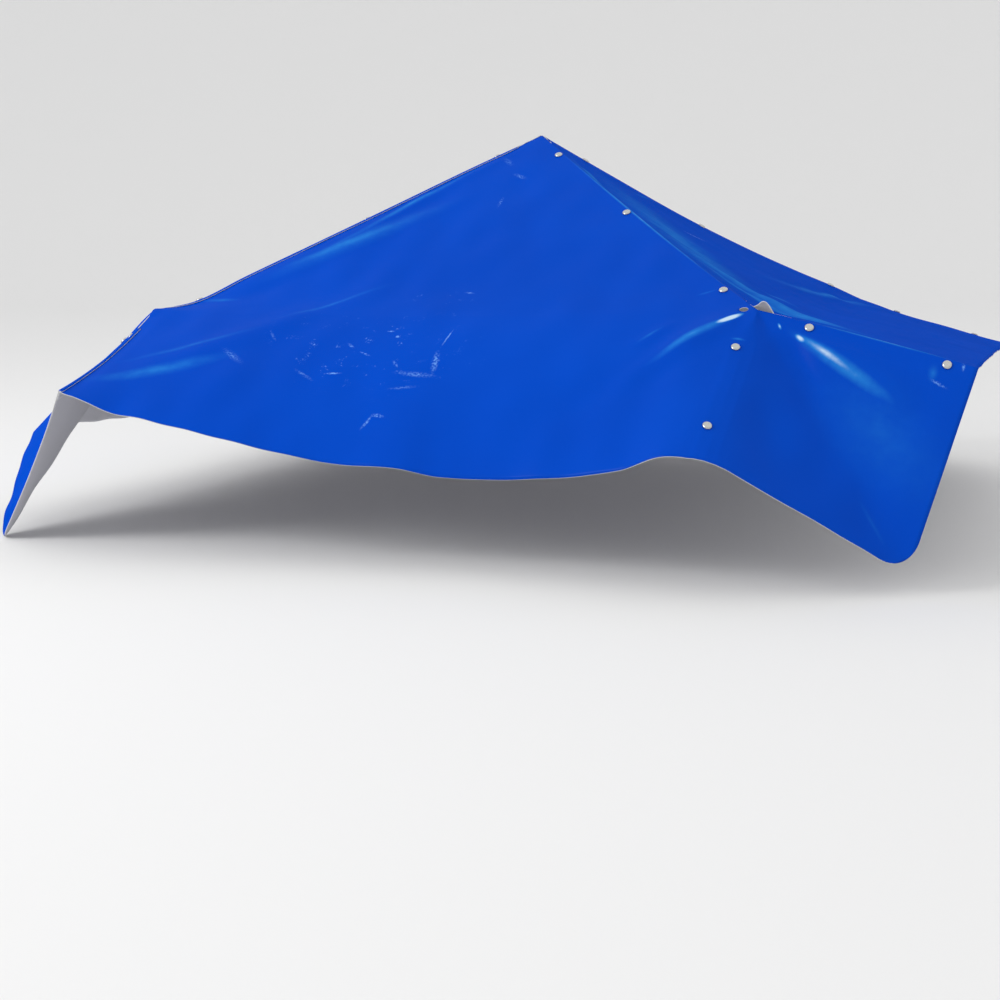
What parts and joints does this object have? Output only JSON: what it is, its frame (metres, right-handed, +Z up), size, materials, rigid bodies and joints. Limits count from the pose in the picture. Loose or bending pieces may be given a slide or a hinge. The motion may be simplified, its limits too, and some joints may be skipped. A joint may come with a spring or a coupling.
{
  "type": "evaporative cooler cover",
  "caption": "Pyramid-shaped fabric sun and rain cover for an evaporative cooler, with drooping side flaps and folded corner gussets held by press studs.",
  "frame": {"origin": "apex of the cover, on the axis of the pyramid, where the support under it carries the cloth", "axes": "+Z up along the pyramid's axis; -Y towards the front flap; +X towards the right flap"},
  "size_m": [1.7191, 1.7633, 0.7083],
  "materials": {
    "cloth": "glossy PVC-coated cloth, blue outside and grey underneath",
    "stud": "bright plated press-stud caps"
  },
  "bodies": {
    "root": {"front_panel": "cloth", "right_panel": "cloth", "back_panel": "cloth", "left_panel": "cloth", "stud_front_right_hip_1": "stud", "stud_front_right_hip_2": "stud", "stud_front_right_hip_3": "stud", "stud_front_right_seam_1": "stud", "stud_front_right_seam_2": "stud", "stud_front_right_fold_1": "stud", "stud_front_right_fold_2": "stud", "stud_back_right_hip_1": "stud", "stud_back_right_hip_2": "stud", "stud_back_right_hip_3": "stud", "stud_back_right_seam_1": "stud", "stud_back_right_seam_2": "stud", "stud_back_right_fold_1": "stud", "stud_back_right_fold_2": "stud", "stud_back_left_hip_1": "stud", "stud_back_left_hip_2": "stud", "stud_back_left_hip_3": "stud", "stud_back_left_seam_1": "stud", "stud_back_left_seam_2": "stud", "stud_back_left_fold_1": "stud", "stud_back_left_fold_2": "stud", "stud_front_left_hip_1": "stud", "stud_front_left_hip_2": "stud", "stud_front_left_hip_3": "stud", "stud_front_left_seam_1": "stud", "stud_front_left_seam_2": "stud", "stud_front_left_fold_1": "stud", "stud_front_left_fold_2": "stud"}
  },
  "joints": []
}
